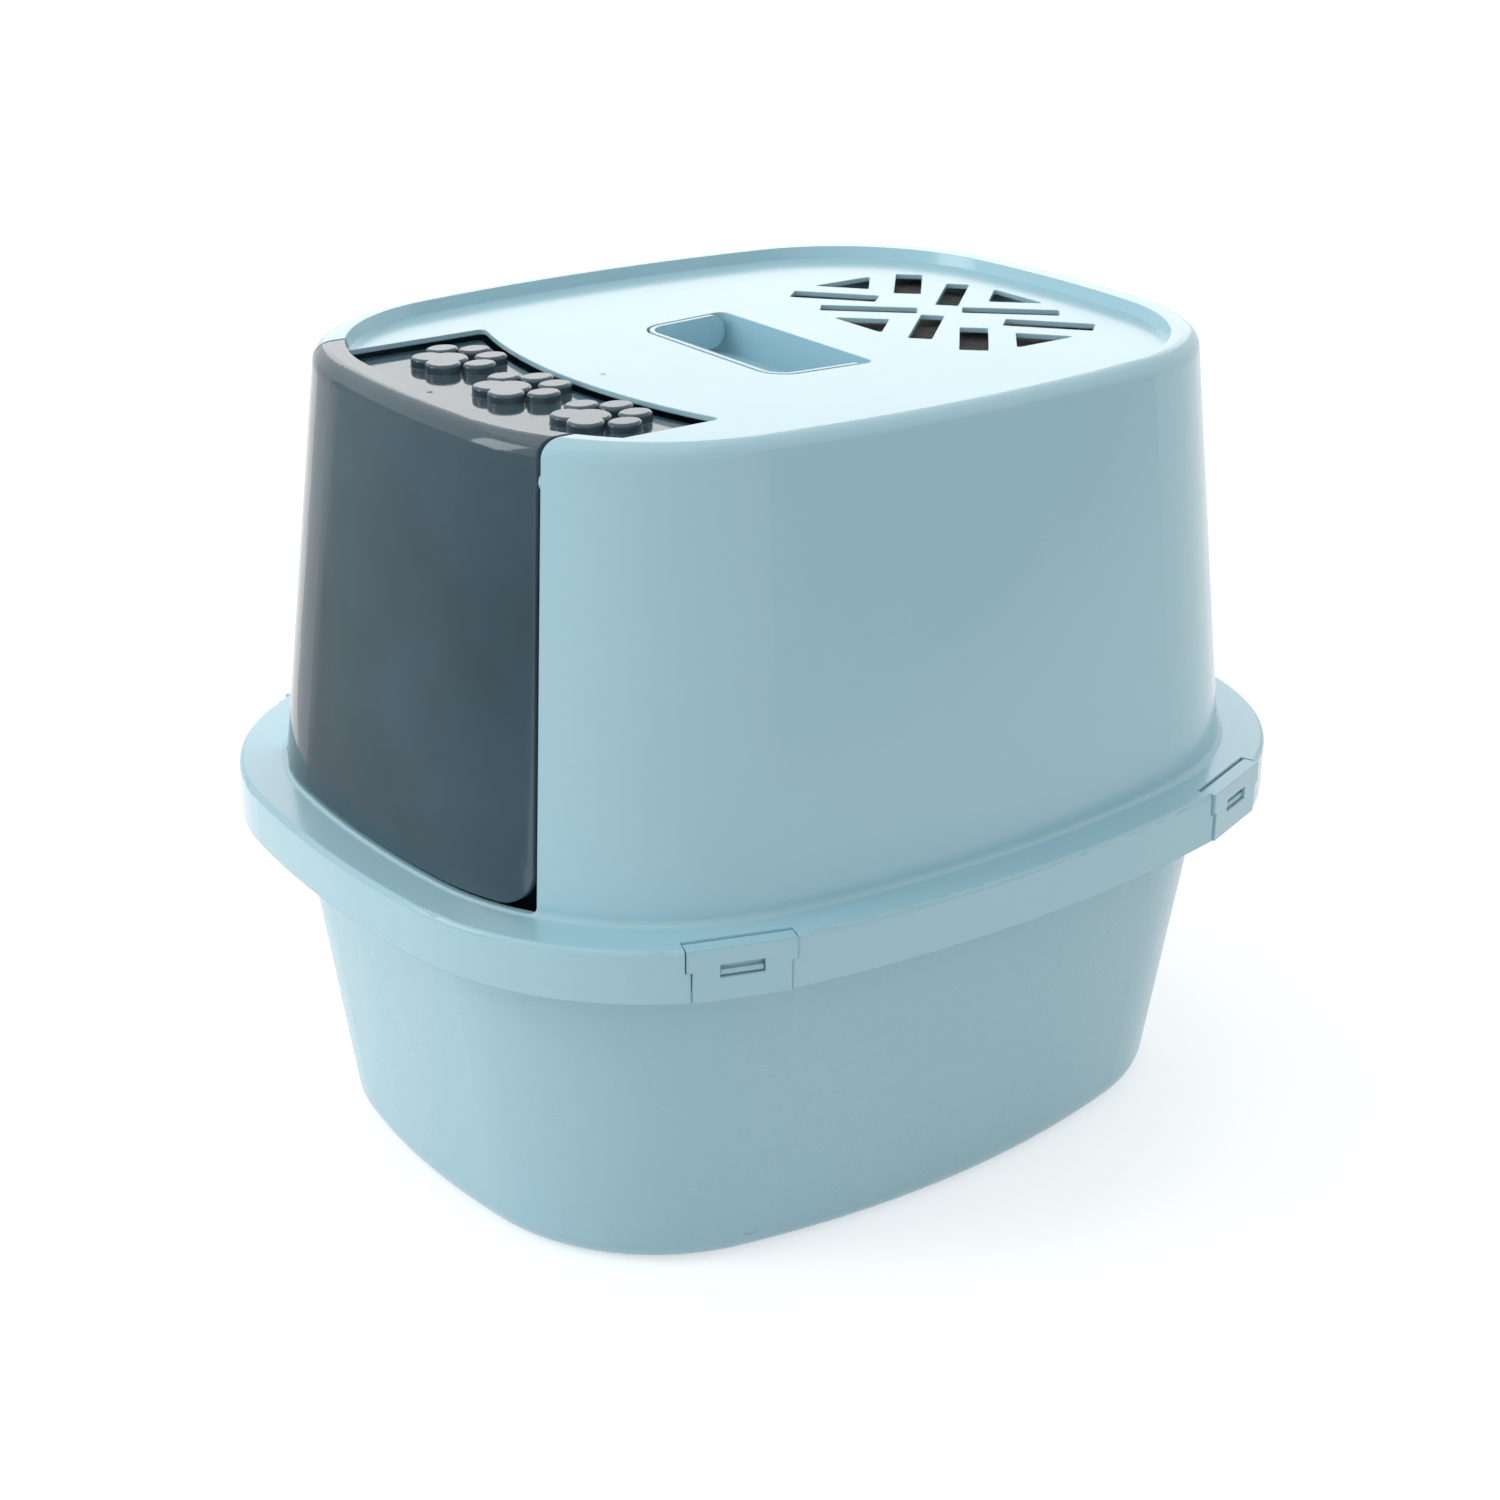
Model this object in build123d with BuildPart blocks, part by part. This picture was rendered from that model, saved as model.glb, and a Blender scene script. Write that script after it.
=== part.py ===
"""Covered litter box: a deep pan, a latched hood, a see-through swing flap, a bail handle and a filter tray.

The origin is at the middle of the base on the floor. +Z is up and the door faces -Y. Sizes are millimetres.
"""

import os
from dataclasses import dataclass
from math import atan2, cos, degrees, hypot, radians, sin, sqrt

from build123d import *

os.makedirs("parts", exist_ok=True)

# Overall form
height = 400.0
ledge_top = 192.5
band_height = 25.5
band_width = 416.0
band_length = 504.0
ledge_width = 21.5
hood_wall = 2.5
band_edge_round = 2.5
foot_round = 3.0
shoulder_round = 9.0

# Plan outlines: arc radii, and how far each one stands in from the band
band_end_radius = 600.0
band_side_radius = 720.0
band_corner_radius = 143.0
foot_end_radius = 545.0
foot_side_radius = 693.0
foot_corner_radius = 130.0
crown_in_x = 48.0
crown_in_y = 45.0
crown_end_radius = 532.0
crown_side_radius = 776.0
crown_corner_radius = 108.0
rim_in_x = 58.0
rim_in_y = 61.0
rim_end_radius = 520.0
rim_side_radius = 766.0
rim_corner_radius = 97.0
mouth_in_x = 26.0
mouth_in_y = 22.0
mouth_end_radius = 560.0
mouth_side_radius = 690.0
mouth_corner_radius = 125.0
floor_in_x = 46.0
floor_in_y = 47.5
floor_end_radius = 395.0
floor_side_radius = 505.0
floor_corner_radius = 106.0

# Top panel of the hood
recess_depth = 6.0
panel_thick = 2.5
rim_slope = 2.0

# Pan
pan_wall = 2.5
pan_bottom_round = 14.0
seat_reach = 16.0
gutter_drop = 6.5
lip_gap = 1.0
lip_depth = 12.5
lip_wall = 2.2

# Flap and the doorway it fills
door_top_width = 196.0
door_foot_width = 231.0
door_sill = 0.8
door_corner_round = 3.0
flap_corner_round = 14.0
door_gap = 2.0
door_corner_depth = 155.0
door_middle_depth = 138.5
door_back_round = 3.0
flap_wall = 2.3
plate_thick = 3.4
plate_drop = 4.5
plate_bow_gap = 1.0
pivot_depth = 65.0
pivot_below_top = 18.0
pivot_pin_radius = 2.5
pivot_pin_length = 6.0
pivot_ear_radius = 5.0
pivot_ear_stem = 6.0
pivot_ear_thick = 4.0
flap_web = 3.4

# Paw bosses on the flap
paw_height = 4.8
paw_pitch = 60.0
paw_depth = 106.0
paw_arc = 3.0
paw_edge_round = 1.6
pad_lobe_radius = 8.5
pad_lobe_spread = 6.5
pad_lobe_back = 4.0
pad_crown_radius = 9.5
pad_crown_forward = 3.0
toe_half_width = 6.6
toe_half_length = 8.2
toe_outer_x = 17.0
toe_outer_y = 9.5
toe_inner_x = 7.4
toe_inner_y = 21.5

# Carry handle and the pocket it lies in
pocket_back = 20.0
pocket_front = -36.0
pocket_back_width = 122.0
pocket_front_width = 112.0
pocket_back_round = 5.0
pocket_front_round = 15.0
pocket_depth = 20.0
pocket_wall = 2.2
bail_gap = 1.5
bail_thick = 2.4
bail_height = 17.0
bail_end_radius = 8.5
bail_pin_radius = 2.4
grip_width = 20.0
grip_slope = 6.5
grip_thick = 3.0

# Vent grille, filter pad and filter tray
grille_from_back = 140.0
grille_half_width = 79.0
grille_half_length = 54.0
grille_tip_x = 57.0
grille_tip_y = 33.0
grille_half_base = 19.0
inner_slot_x = 22.5
inner_slot_y = 28.0
inner_slot_length = 49.0
inner_slot_width = 11.8
inner_slot_angle = 48.0
outer_slot_x = 54.3
outer_slot_y = 24.8
outer_slot_length = 44.6
outer_slot_width = 14.0
outer_slot_angle = 41.4
grille_corner_round = 1.2
filter_width = 168.0
filter_length = 112.0
filter_thick = 9.0
tray_wall = 2.0
tray_floor = 2.0
tray_height = 13.5
tray_gap = 1.0
filter_gap = 2.0
filter_seat_gap = 0.3
tray_rod_radius = 2.0
tray_rod_offset = 4.5
tray_rod_drop = 7.5
tray_rod_length = 100.0
tray_ear_x = 46.0
tray_ear_thick = 4.0
tray_ear_radius = 4.0
tray_web_x = 23.0
tray_web_width = 6.0
tray_web_thick = 3.0
tray_slot_width = 22.0
tray_slot_pitch = 32.0
tray_slot_count = 5

# Latches
latch_from_end = 100.0
latch_upper_width = 50.0
latch_lower_width = 45.0
latch_step_drop = 11.0
latch_thick = 2.2
latch_face_inset = 0.8
latch_gap = 0.5
latch_hinge_inset = 8.0
latch_barrel_radius = 2.1
latch_pin_radius = 1.25
latch_pin_length = 4.0
latch_cheek = 5.0
latch_top_gap = 0.2
window_width = 20.4
window_height = 6.3
window_drop = 8.0
catch_width = 19.6
catch_height = 2.6
catch_lift = 0.7
pin_clearance = 0.05


@dataclass
class Oval:
    """A plan outline: two end arcs and two side arcs, joined by four tighter corner arcs."""

    half_width: float
    half_length: float
    end_radius: float
    side_radius: float
    corner_radius: float

    def inset(self, depth):
        """The outline moved inwards by depth."""
        return Oval(
            self.half_width - depth,
            self.half_length - depth,
            self.end_radius - depth,
            self.side_radius - depth,
            self.corner_radius - depth,
        )

    def toward(self, other, share):
        """The outline a share of the way to another one."""
        return Oval(
            self.half_width + (other.half_width - self.half_width) * share,
            self.half_length + (other.half_length - self.half_length) * share,
            self.end_radius + (other.end_radius - self.end_radius) * share,
            self.side_radius + (other.side_radius - self.side_radius) * share,
            self.corner_radius + (other.corner_radius - self.corner_radius) * share,
        )

    def corner_centre(self):
        """Centre of the corner arc in the +X +Y quarter, where it is tangent to both its neighbours."""
        end_y = self.half_length - self.end_radius
        side_x = self.half_width - self.side_radius
        reach_end = self.end_radius - self.corner_radius
        reach_side = self.side_radius - self.corner_radius
        apart = hypot(side_x, end_y)
        along = (reach_end**2 - reach_side**2 + apart**2) / (2 * apart)
        across = sqrt(reach_end**2 - along**2)
        unit_x = side_x / apart
        unit_y = -end_y / apart
        return unit_x * along + unit_y * across, end_y + unit_y * along - unit_x * across

    def joints(self):
        """The two points where the corner arc meets the end arc and the side arc."""
        x, y = self.corner_centre()
        end_y = self.half_length - self.end_radius
        side_x = self.half_width - self.side_radius
        to_end = hypot(x, y - end_y)
        to_side = hypot(x - side_x, y)
        end_joint = (x / to_end * self.end_radius, end_y + (y - end_y) / to_end * self.end_radius)
        side_joint = (side_x + (x - side_x) / to_side * self.side_radius, y / to_side * self.side_radius)
        return end_joint, side_joint

    def corner_point(self, y):
        """The point of the +X +Y corner arc at height y of the plan, and its outward angle in degrees."""
        centre_x, centre_y = self.corner_centre()
        rise = y - centre_y
        run = sqrt(self.corner_radius**2 - rise**2)
        return centre_x + run, degrees(atan2(rise, run))

    def draw(self):
        """Add the closed outline to the line that is being built."""
        (end_x, end_y), (side_x, side_y) = self.joints()
        centre_x, centre_y = self.corner_centre()
        angle = (atan2(end_y - centre_y, end_x - centre_x) + atan2(side_y - centre_y, side_x - centre_x)) / 2
        middle = (
            centre_x + self.corner_radius * cos(angle),
            centre_y + self.corner_radius * sin(angle),
        )
        ThreePointArc((-end_x, -end_y), (0, -self.half_length), (end_x, -end_y))
        ThreePointArc((end_x, -end_y), (middle[0], -middle[1]), (side_x, -side_y))
        ThreePointArc((side_x, -side_y), (self.half_width, 0), (side_x, side_y))
        ThreePointArc((side_x, side_y), middle, (end_x, end_y))
        ThreePointArc((end_x, end_y), (0, self.half_length), (-end_x, end_y))
        ThreePointArc((-end_x, end_y), (-middle[0], middle[1]), (-side_x, side_y))
        ThreePointArc((-side_x, side_y), (-self.half_width, 0), (-side_x, -side_y))
        ThreePointArc((-side_x, -side_y), (-middle[0], -middle[1]), (-end_x, -end_y))


def plan_face(oval, z):
    """The outline as a face at height z."""
    with BuildSketch(Plane.XY.offset(z)) as sketch:
        with BuildLine():
            oval.draw()
        make_face()
    return sketch.sketch


def tapered(lower, z_low, upper, z_high, mode=Mode.ADD):
    """Add or cut the straight-sided body between two outlines."""
    loft(sections=[plan_face(lower, z_low), plan_face(upper, z_high)], ruled=True, mode=mode)


def ring(outer, inner, z_low, z_high):
    """Add the flat ring between two outlines."""
    with BuildSketch(Plane.XY.offset(z_low)) as sketch:
        with BuildLine():
            outer.draw()
        make_face()
        with BuildLine():
            inner.draw()
        make_face(mode=Mode.SUBTRACT)
    extrude(sketch.sketch, amount=z_high - z_low)


def block(plane, x_range, y_range, z_range, mode=Mode.ADD):
    """Add or cut a box given by its ranges in a plane's own axes."""
    with BuildSketch(plane.offset(z_range[0])) as sketch:
        with Locations(((x_range[0] + x_range[1]) / 2, (y_range[0] + y_range[1]) / 2)):
            Rectangle(x_range[1] - x_range[0], y_range[1] - y_range[0])
    extrude(sketch.sketch, amount=z_range[1] - z_range[0], mode=mode)


def rod(plane, centre, radius, length, mode=Mode.ADD):
    """Add or cut a cylinder that starts on a plane and runs along its normal."""
    with BuildSketch(plane) as sketch:
        with Locations(centre):
            Circle(radius)
    extrude(sketch.sketch, amount=length, mode=mode)


# Outlines at the main levels
half_width = band_width / 2
half_length = band_length / 2
band = Oval(half_width, half_length, band_end_radius, band_side_radius, band_corner_radius)
foot = Oval(
    half_width - ledge_width, half_length - ledge_width, foot_end_radius, foot_side_radius, foot_corner_radius
)
crown = Oval(
    half_width - crown_in_x, half_length - crown_in_y, crown_end_radius, crown_side_radius, crown_corner_radius
)
rim_top = Oval(
    half_width - rim_in_x, half_length - rim_in_y, rim_end_radius, rim_side_radius, rim_corner_radius
)
pan_mouth = Oval(
    half_width - mouth_in_x, half_length - mouth_in_y, mouth_end_radius, mouth_side_radius, mouth_corner_radius
)
pan_floor = Oval(
    half_width - floor_in_x, half_length - floor_in_y, floor_end_radius, floor_side_radius, floor_corner_radius
)

# Heights
band_bottom = ledge_top - band_height
ledge_under = ledge_top - hood_wall
panel_top = height - recess_depth
panel_under = panel_top - panel_thick
plate_top = panel_top - plate_drop
plate_under = plate_top - plate_thick
pivot_z = height - pivot_below_top
gutter_top = ledge_under - gutter_drop
catch_bottom = ledge_top - window_drop - window_height + catch_lift
latch_hinge_z = ledge_top - latch_barrel_radius - latch_top_gap

# Places along the length, counted in from the band's ends
pivot_y = pivot_depth - half_length
door_back_corner = door_corner_depth - half_length
door_back_middle = door_middle_depth - half_length
paw_y = paw_depth - half_length
grille_y = half_length - grille_from_back
latch_y = half_length - latch_from_end


def hood_level(z):
    """Outer outline of the hood's wall at height z."""
    return foot.toward(crown, (z - ledge_top) / (height - ledge_top))


def pan_level(z):
    """Outer outline of the pan's wall at height z."""
    return pan_floor.toward(pan_mouth, z / ledge_under)


# The outer form that the hood and the flap share
with BuildPart() as outer_form:
    extrude(plan_face(band, band_bottom), amount=band_height)
    fillet(outer_form.edges().group_by(Axis.Z)[-1], radius=band_edge_round)
    tapered(foot, ledge_top, crown, height)
    fillet(outer_form.edges(Select.LAST).filter_by_position(Axis.Z, ledge_top, ledge_top), radius=foot_round)
    fillet(outer_form.edges().group_by(Axis.Z)[-1], radius=shoulder_round)
    tapered(rim_top.inset(rim_slope), panel_top, rim_top, height, mode=Mode.SUBTRACT)


def door_region(gap):
    """The space of the doorway in the hood's front and top, made smaller all round by gap."""
    sill = ledge_top + door_sill + gap
    half_top = door_top_width / 2 - gap
    half_foot = door_foot_width / 2 - gap
    top = height + shoulder_round
    back_corner = door_back_corner - gap - (plate_bow_gap if gap else 0)
    back_middle = door_back_middle - gap
    with BuildPart() as region:
        with BuildSketch(Plane.XZ.offset(-pivot_y - pivot_ear_radius * 3)) as front:
            with BuildLine():
                Polyline((-half_foot, sill), (half_foot, sill), (half_top, top), (-half_top, top), close=True)
            make_face()
            fillet(front.vertices().group_by(Axis.Y)[0], radius=flap_corner_round if gap else door_corner_round)
        extrude(amount=half_length)
        with BuildSketch(Plane.XY.offset(pivot_z)) as plan:
            with BuildLine():
                ThreePointArc((-half_top, back_corner), (0, back_middle), (half_top, back_corner))
                Polyline(
                    (half_top, back_corner),
                    (half_top, -half_length),
                    (-half_top, -half_length),
                    (-half_top, back_corner),
                )
            make_face()
            fillet(plan.vertices().group_by(Axis.Y)[-1], radius=door_back_round)
        extrude(amount=top - pivot_z)
    return region.part


def pocket_face(z, inset):
    """The D outline of the handle's pocket at height z, moved inwards by inset."""
    half_back = pocket_back_width / 2
    half_front = pocket_front_width / 2
    with BuildSketch(Plane.XY.offset(z)) as sketch:
        with BuildLine():
            Polyline(
                (-half_back, pocket_back),
                (half_back, pocket_back),
                (half_front, pocket_front),
                (-half_front, pocket_front),
                close=True,
            )
        make_face()
        fillet(sketch.vertices().group_by(Axis.Y)[-1], radius=pocket_back_round)
        fillet(sketch.vertices().group_by(Axis.Y)[0], radius=pocket_front_round)
        if inset:
            offset(amount=-inset, mode=Mode.REPLACE)
    return sketch.sketch


def grille_face(z):
    """The twelve openings of the vent grille: a triangle on each side and two slanted slots in each corner."""
    slots = [
        (inner_slot_x, inner_slot_y, inner_slot_length, inner_slot_width, inner_slot_angle),
        (outer_slot_x, outer_slot_y, outer_slot_length, outer_slot_width, outer_slot_angle),
    ]
    with BuildSketch(Plane.XY.offset(z)) as sketch:
        for x_side in (-1, 1):
            for y_side in (-1, 1):
                for x, y, length, width, angle in slots:
                    with Locations((x_side * x, grille_y + y_side * y)):
                        Rectangle(length, width, rotation=x_side * y_side * angle)
            with BuildLine():
                Polyline(
                    (x_side * grille_tip_x, grille_y),
                    (x_side * grille_half_width, grille_y - grille_half_base),
                    (x_side * grille_half_width, grille_y + grille_half_base),
                    close=True,
                )
            make_face()
            with BuildLine():
                Polyline(
                    (0, grille_y + x_side * grille_tip_y),
                    (grille_half_base, grille_y + x_side * grille_half_length),
                    (-grille_half_base, grille_y + x_side * grille_half_length),
                    close=True,
                )
            make_face()
        fillet(sketch.vertices(), radius=grille_corner_round)
    return sketch.sketch


def latch_plane(x_side, y_side):
    """Upright frame of one latch: +X along the band, +Y out of it, +Z up, from floor level."""
    x, angle = band.corner_point(latch_y)
    out_x = x_side * cos(radians(angle))
    out_y = y_side * sin(radians(angle))
    return Plane(origin=(x_side * x, y_side * latch_y, 0), x_dir=(out_y, -out_x, 0), z_dir=(0, 0, 1))


latch_places = {
    "latch_front_right": latch_plane(1, -1),
    "latch_front_left": latch_plane(-1, -1),
    "latch_rear_right": latch_plane(1, 1),
    "latch_rear_left": latch_plane(-1, 1),
}

with BuildPart() as pan_hollow:
    tapered(pan_level(pan_wall).inset(pan_wall), pan_wall, pan_mouth.inset(pan_wall), ledge_under)
    fillet(pan_hollow.edges().group_by(Axis.Z)[0], radius=pan_bottom_round - pan_wall)

with BuildPart() as pan:
    tapered(pan_floor, 0, pan_mouth, ledge_under)
    fillet(pan.edges().group_by(Axis.Z)[0], radius=pan_bottom_round)
    ring(band.inset(seat_reach), pan_mouth.inset(pan_wall / 2), ledge_under - pan_wall, ledge_under)
    ring(band.inset(seat_reach), band.inset(seat_reach + pan_wall), gutter_top - pan_wall, ledge_under)
    lip_face = band.inset(hood_wall + lip_gap)
    ring(lip_face, band.inset(seat_reach + pan_wall), gutter_top - pan_wall, gutter_top)
    ring(lip_face, lip_face.inset(lip_wall), gutter_top - lip_depth, gutter_top)
    add(pan_hollow.part, mode=Mode.SUBTRACT)
    for place in latch_places.values():
        block(
            place,
            (-catch_width / 2, catch_width / 2),
            (-hood_wall - lip_gap - lip_wall / 2, -latch_face_inset - latch_thick / 2),
            (catch_bottom, catch_bottom + catch_height),
        )
pan.part.label = "pan"

# Planes on the inner faces of the hood's ears, at the flap's pivot
ear_planes = [
    Plane(
        origin=(side * (door_top_width / 2 + latch_gap), pivot_y, pivot_z),
        x_dir=(0, side, 0),
        z_dir=(side, 0, 0),
    )
    for side in (-1, 1)
]

# The ears end flush with the hood's outer form
with BuildPart() as ears:
    for ear_plane in ear_planes:
        block(
            ear_plane,
            (-pivot_ear_stem / 2, pivot_ear_stem / 2),
            (0, panel_under + panel_thick / 2 - pivot_z),
            (0, pivot_ear_thick),
        )
        rod(ear_plane, (0, 0), pivot_ear_radius, pivot_ear_thick)
    add(outer_form.part, mode=Mode.INTERSECT)

with BuildPart() as hood:
    add(outer_form.part)
    extrude(plan_face(band.inset(hood_wall), band_bottom), amount=band_height - hood_wall, mode=Mode.SUBTRACT)
    tapered(
        hood_level(ledge_under).inset(hood_wall),
        ledge_under,
        hood_level(panel_under).inset(hood_wall),
        panel_under,
        mode=Mode.SUBTRACT,
    )
    add(door_region(0), mode=Mode.SUBTRACT)
    # Ears that carry the flap's pins
    add(ears.part)
    for ear_plane in ear_planes:
        rod(
            ear_plane,
            (0, 0),
            pivot_pin_radius + pin_clearance,
            pivot_ear_thick + latch_gap,
            mode=Mode.SUBTRACT,
        )
    # Pocket of the carry handle
    extrude(pocket_face(panel_top - pocket_depth - pocket_wall, -pocket_wall), amount=pocket_depth)
    extrude(pocket_face(panel_top - pocket_depth, 0), amount=pocket_depth, mode=Mode.SUBTRACT)
    bail_pivot_y = pocket_back - bail_end_radius - bail_gap
    bail_pivot_z = panel_top - bail_end_radius
    rod(
        Plane.YZ.offset(-pocket_back_width / 2 - pocket_wall / 2),
        (bail_pivot_y, bail_pivot_z),
        bail_pin_radius + pin_clearance,
        pocket_back_width + pocket_wall,
        mode=Mode.SUBTRACT,
    )
    # Vent grille
    extrude(grille_face(panel_under), amount=panel_thick, mode=Mode.SUBTRACT)
    # Ears that carry the filter tray's rod
    tray_half_width = filter_width / 2 + filter_gap + tray_wall
    tray_half_length = filter_length / 2 + filter_gap + tray_wall
    tray_top = panel_under - tray_gap
    rod_y = grille_y - tray_half_length - tray_rod_offset
    rod_z = panel_under - tray_rod_drop
    for side in (-1, 1):
        ear_plane = Plane.YZ.offset(side * tray_ear_x - tray_ear_thick / 2)
        block(
            ear_plane,
            (rod_y - tray_ear_radius, rod_y + tray_ear_radius),
            (rod_z, panel_under + panel_thick / 2),
            (0, tray_ear_thick),
        )
        rod(ear_plane, (rod_y, rod_z), tray_ear_radius, tray_ear_thick)
        rod(ear_plane, (rod_y, rod_z), tray_rod_radius + pin_clearance, tray_ear_thick, mode=Mode.SUBTRACT)
    # Notches of the latches, with the cheeks that hold their pins
    hinge_back = latch_hinge_inset + latch_barrel_radius + latch_gap
    half_upper = latch_upper_width / 2 + latch_gap
    half_lower = latch_lower_width / 2 + latch_gap
    for place in latch_places.values():
        for side in (-1, 1):
            cheek_near = half_upper
            cheek_far = half_upper + latch_cheek
            block(
                place,
                (min(side * cheek_near, side * cheek_far), max(side * cheek_near, side * cheek_far)),
                (-hinge_back - latch_barrel_radius, -latch_hinge_inset + latch_barrel_radius * 2),
                (ledge_under - latch_barrel_radius * 2, ledge_under + hood_wall / 2),
            )
        block(
            place,
            (-half_upper, half_upper),
            (-hinge_back, ledge_width / 2),
            (ledge_top - latch_step_drop, height / 2),
            mode=Mode.SUBTRACT,
        )
        block(
            place,
            (-half_lower, half_lower),
            (-hinge_back, ledge_width / 2),
            (band_bottom - latch_gap, ledge_top),
            mode=Mode.SUBTRACT,
        )
        pin_plane = Plane(
            origin=place.from_local_coords((-half_upper - latch_pin_length, -latch_hinge_inset, latch_hinge_z)),
            x_dir=place.y_dir,
            z_dir=place.x_dir,
        )
        rod(
            pin_plane,
            (0, 0),
            latch_pin_radius + pin_clearance,
            2 * (half_upper + latch_pin_length),
            mode=Mode.SUBTRACT,
        )
hood.part.label = "hood"

with BuildPart() as flap:
    add(outer_form.part)
    add(door_region(door_gap), mode=Mode.INTERSECT)
    tapered(
        hood_level(ledge_under).inset(flap_wall),
        ledge_under,
        hood_level(plate_under).inset(flap_wall),
        plate_under,
        mode=Mode.SUBTRACT,
    )
    extrude(plan_face(rim_top.inset(rim_slope), plate_top), amount=recess_depth, mode=Mode.SUBTRACT)
    # Paw bosses, each a three-lobed pad with its toes towards the back
    with BuildSketch(Plane.XY.offset(plate_top)) as paws:
        with Locations(*[(paw_pitch * step, paw_y + paw_arc * abs(step)) for step in (-1, 0, 1)]):
            for side in (-1, 1):
                with Locations((side * pad_lobe_spread, -pad_lobe_back)):
                    Circle(pad_lobe_radius)
                with Locations((side * toe_outer_x, toe_outer_y), (side * toe_inner_x, toe_inner_y)):
                    Ellipse(toe_half_width, toe_half_length)
            with Locations((0, pad_crown_forward)):
                Circle(pad_crown_radius)
    extrude(paws.sketch, amount=paw_height)
    fillet(
        flap.edges(Select.LAST).filter_by_position(Axis.Z, plate_top + paw_height, plate_top + paw_height),
        radius=paw_edge_round,
    )
    # Webs and pins that hang the flap in the hood's ears
    for side in (-1, 1):
        web_plane = Plane(
            origin=(side * (door_top_width / 2 - door_gap - flap_web), pivot_y, pivot_z),
            x_dir=(0, side, 0),
            z_dir=(side, 0, 0),
        )
        block(
            web_plane,
            (-pivot_ear_radius, pivot_ear_radius),
            (0, plate_under + plate_thick / 2 - pivot_z),
            (0, flap_web),
        )
        rod(web_plane, (0, 0), pivot_ear_radius, flap_web)
        rod(web_plane, (0, 0), pivot_pin_radius, flap_web + pivot_pin_length)
flap.part.label = "flap"

# Sloping grip across the front of the bail
with BuildPart() as grip:
    with BuildSketch(Plane.YZ.offset(-pocket_front_width)):
        with BuildLine():
            Polyline(
                (pocket_front, panel_top),
                (pocket_front + grip_width, panel_top - grip_slope),
                (pocket_front + grip_width, panel_top - grip_slope - grip_thick),
                (pocket_front, panel_top - grip_thick),
                close=True,
            )
        make_face()
    extrude(amount=pocket_front_width * 2)
    extrude(pocket_face(panel_top - bail_height, bail_gap), amount=bail_height, mode=Mode.INTERSECT)

with BuildPart() as carry_handle:
    bail_bottom = panel_top - bail_height
    extrude(pocket_face(bail_bottom, bail_gap), amount=bail_height)
    extrude(pocket_face(bail_bottom, bail_gap + bail_thick), amount=bail_height, mode=Mode.SUBTRACT)
    block(
        Plane.XY,
        (-pocket_back_width, pocket_back_width),
        (bail_pivot_y, pocket_back),
        (bail_bottom, panel_top),
        mode=Mode.SUBTRACT,
    )
    slope = (pocket_back_width - pocket_front_width) / 2 / (pocket_back - pocket_front)
    arm_out = pocket_back_width / 2 - slope * (pocket_back - bail_pivot_y) - bail_gap
    for side in (-1, 1):
        arm_plane = Plane(
            origin=(side * (arm_out - bail_thick), bail_pivot_y, bail_pivot_z),
            x_dir=(0, side, 0),
            z_dir=(side, 0, 0),
        )
        rod(arm_plane, (0, 0), bail_end_radius, bail_thick)
        rod(arm_plane, (0, 0), bail_pin_radius, bail_thick + bail_gap + pocket_wall - bail_gap / 2)
    add(grip.part)
carry_handle.part.label = "carry_handle"

with BuildPart() as filter_tray:
    tray_bottom = tray_top - tray_height
    x_span = (-tray_half_width, tray_half_width)
    y_span = (grille_y - tray_half_length, grille_y + tray_half_length)
    block(Plane.XY, x_span, y_span, (tray_bottom, tray_top))
    block(
        Plane.XY,
        (-tray_half_width + tray_wall, tray_half_width - tray_wall),
        (grille_y - tray_half_length + tray_wall, grille_y + tray_half_length - tray_wall),
        (tray_bottom + tray_floor, tray_top),
        mode=Mode.SUBTRACT,
    )
    with BuildSketch(Plane.XY.offset(tray_bottom)) as slots:
        with Locations((0, grille_y)):
            with GridLocations(tray_slot_pitch, 0, tray_slot_count, 1):
                SlotOverall(filter_length - tray_slot_width, tray_slot_width, rotation=90)
    extrude(slots.sketch, amount=tray_floor, mode=Mode.SUBTRACT)
    rod(Plane.YZ.offset(-tray_rod_length / 2), (rod_y, rod_z), tray_rod_radius, tray_rod_length)
    for side in (-1, 1):
        block(
            Plane.XY,
            (side * tray_web_x - tray_web_width / 2, side * tray_web_x + tray_web_width / 2),
            (rod_y, grille_y - tray_half_length + tray_wall / 2),
            (rod_z - tray_web_thick / 2, rod_z + tray_web_thick / 2),
        )
filter_tray.part.label = "filter_tray"

with BuildPart() as charcoal_filter:
    pad_bottom = tray_bottom + tray_floor + filter_seat_gap
    with BuildSketch(Plane.XY.offset(pad_bottom)) as pad:
        with Locations((0, grille_y)):
            RectangleRounded(filter_width, filter_length, filter_gap * 2)
    extrude(amount=filter_thick)
charcoal_filter.part.label = "charcoal_filter"


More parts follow.
